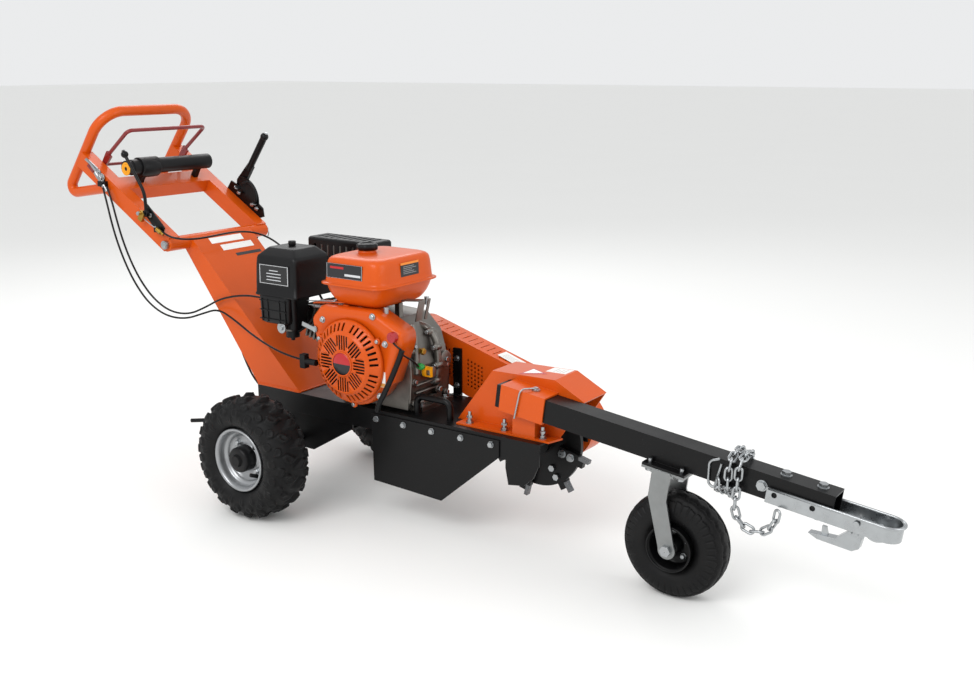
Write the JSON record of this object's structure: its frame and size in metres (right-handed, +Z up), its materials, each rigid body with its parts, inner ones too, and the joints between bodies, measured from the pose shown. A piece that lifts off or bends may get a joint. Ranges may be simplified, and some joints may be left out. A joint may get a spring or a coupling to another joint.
{
  "type": "stump grinder",
  "caption": "Towable petrol stump grinder: engine on a steel deck, belt-driven cutter wheel under a hood, raised tiller handle and offset tow bar with a nose wheel.",
  "frame": {"origin": "middle of the footprint, on the floor", "axes": "+Z up, +X from the handle towards the tow coupler, +Y towards the belt guard side"},
  "size_m": [2.6428, 0.76, 1.12],
  "materials": {
    "orange_paint": "gloss orange enamel",
    "black_paint": "satin black powder coat",
    "red_paint": "dark red enamel",
    "silver_paint": "silver wheel paint",
    "zinc": "bright zinc plate",
    "steel": "bare machined steel",
    "carbide": "ground carbide",
    "cast_iron": "rough grey iron",
    "cast_aluminium": "sand-cast aluminium",
    "black_plastic": "textured black moulding",
    "yellow_plastic": "yellow moulding",
    "red_plastic": "red moulding",
    "black_rubber": "smooth rubber",
    "tyre": "moulded tyre rubber"
  },
  "bodies": {
    "chassis": {"air_filter_cover": "black_plastic", "belt_guard_back": "orange_paint", "belt_guard_cover": "orange_paint", "carburettor": "black_plastic", "control_cables": "black_rubber", "coupler": "zinc", "crankcase_cover": "cast_aluminium", "cutter_hood": "orange_paint", "deck_frame": "black_paint", "drive_belt": "black_rubber", "engine_block": "cast_aluminium", "fan_cowl": "orange_paint", "frame_bolts": "zinc", "front_axle": "zinc", "front_fork": "zinc", "fuel_tank": "orange_paint", "guard_strap": "black_paint", "mast": "orange_paint", "muffler": "steel", "muffler_guard": "black_paint", "pillow_bearings": "cast_iron", "pivot_bolt": "zinc", "rear_axle": "black_paint", "recoil_cover": "orange_paint", "safety_chain": "zinc", "side_skirt": "black_paint", "snap_hook": "zinc", "tow_bar": "black_paint", "tow_bar_bolts": "zinc"},
    "left_wheel": {"left_rim": "silver_paint", "left_tyre": "tyre"},
    "right_wheel": {"right_rim": "silver_paint", "right_tyre": "tyre"},
    "front_wheel": {"front_rim": "black_paint", "front_tyre": "tyre"},
    "crank": {"crankshaft": "steel", "flywheel": "cast_aluminium", "drive_pulley": "cast_iron"},
    "cutter": {"cutter_shaft": "steel", "cutter_disc": "black_paint", "tooth_holders": "black_paint", "cutter_teeth": "carbide", "tooth_bolts": "zinc", "driven_pulley": "cast_iron"},
    "handle": {"handle_rails": "orange_paint", "handle_loop": "orange_paint", "tool_tube": "black_plastic", "control_brackets": "black_paint"},
    "bail_arch": {"bail": "red_paint"},
    "throttle": {"throttle_lever": "black_paint"},
    "brake": {"brake_lever": "black_paint"},
    "latch": {"coupler_latch": "zinc"},
    "sleeve_pin": {"hitch_pin": "zinc"},
    "tank_cap": {"fuel_cap": "black_plastic"},
    "sump_cap": {"oil_cap": "yellow_plastic"},
    "stop_switch": {"engine_switch": "red_plastic"},
    "choke": {"choke_lever": "zinc"},
    "pull_grip": {"starter_grip": "black_rubber"},
    "pedal": {"parking_pedal": "black_paint"}
  },
  "joints": [
    {"name": "left_wheel_spin", "type": "hinge", "parent": "chassis", "child": "left_wheel", "pos_m": [-0.40804, -0.31, 0.1765], "axis": [0, 1, 0], "continuous": true},
    {"name": "right_wheel_spin", "type": "hinge", "parent": "chassis", "child": "right_wheel", "pos_m": [-0.40804, 0.31, 0.1765], "axis": [0, 1, 0], "continuous": true},
    {"name": "front_wheel_spin", "type": "hinge", "parent": "chassis", "child": "front_wheel", "pos_m": [0.79696, -0.09, 0.131], "axis": [0, 1, 0], "continuous": true},
    {"name": "cutter_spin", "type": "hinge", "parent": "chassis", "child": "cutter", "pos_m": [0.35196, 0, 0.285], "axis": [0, 1, 0], "continuous": true},
    {"name": "crank_spin", "type": "hinge", "parent": "chassis", "child": "crank", "pos_m": [-0.15804, 0, 0.456], "axis": [0, 1, 0], "continuous": true},
    {"name": "handle_tilt", "type": "hinge", "parent": "chassis", "child": "handle", "pos_m": [-0.84804, 0, 0.721], "axis": [0, 1, 0], "range_deg": [-12, 20], "deforming": ["control_cables"]},
    {"name": "bail_squeeze", "type": "hinge", "parent": "handle", "child": "bail_arch", "pos_m": [-1.17988, 0, 0.93924], "axis": [0, -1, 0], "range_deg": [0, 24], "stiffness_Nm_per_rad": 1.5},
    {"name": "throttle_swing", "type": "hinge", "parent": "handle", "child": "throttle", "pos_m": [-0.91404, -0.213, 0.812], "axis": [0, 1, 0], "range_deg": [-20, 30]},
    {"name": "brake_swing", "type": "hinge", "parent": "handle", "child": "brake", "pos_m": [-0.96404, 0.214, 0.815], "axis": [0, 1, 0], "range_deg": [-35, 5]},
    {"name": "latch_swing", "type": "hinge", "parent": "chassis", "child": "latch", "pos_m": [1.22325, -0.09, 0.26166], "axis": [0, -1, 0], "range_deg": [0, 40]},
    {"name": "hitch_pin_pull", "type": "slide", "parent": "chassis", "child": "sleeve_pin", "axis": [0.1236, 0, 0.9923], "range_m": [0, 0.12]},
    {"name": "fuel_cap_turn", "type": "hinge", "parent": "chassis", "child": "tank_cap", "pos_m": [-0.18004, -0.06, 0.751], "axis": [0, 0, 1], "range_deg": [0, 120]},
    {"name": "oil_cap_turn", "type": "hinge", "parent": "chassis", "child": "sump_cap", "pos_m": [0.00396, -0.04, 0.424], "axis": [1, 0, 0], "range_deg": [0, 360]},
    {"name": "switch_turn", "type": "hinge", "parent": "chassis", "child": "stop_switch", "pos_m": [-0.00404, -0.165, 0.545], "axis": [0, 1, 0], "range_deg": [0, 45]},
    {"name": "choke_swing", "type": "hinge", "parent": "chassis", "child": "choke", "pos_m": [-0.28604, -0.165, 0.53], "axis": [0, 1, 0], "range_deg": [0, 30]},
    {"name": "starter_pull", "type": "slide", "parent": "chassis", "child": "pull_grip", "axis": [-1, 0, 0], "range_m": [0, 0.35], "stiffness_N_per_m": 20},
    {"name": "pedal_press", "type": "hinge", "parent": "chassis", "child": "pedal", "pos_m": [-0.46804, -0.114, 0.216], "axis": [0, -1, 0], "range_deg": [0, 15]}
  ],
  "couplings": [
    {"joint": "crank_spin", "follows": "cutter_spin", "ratio": 1.3386}
  ]
}
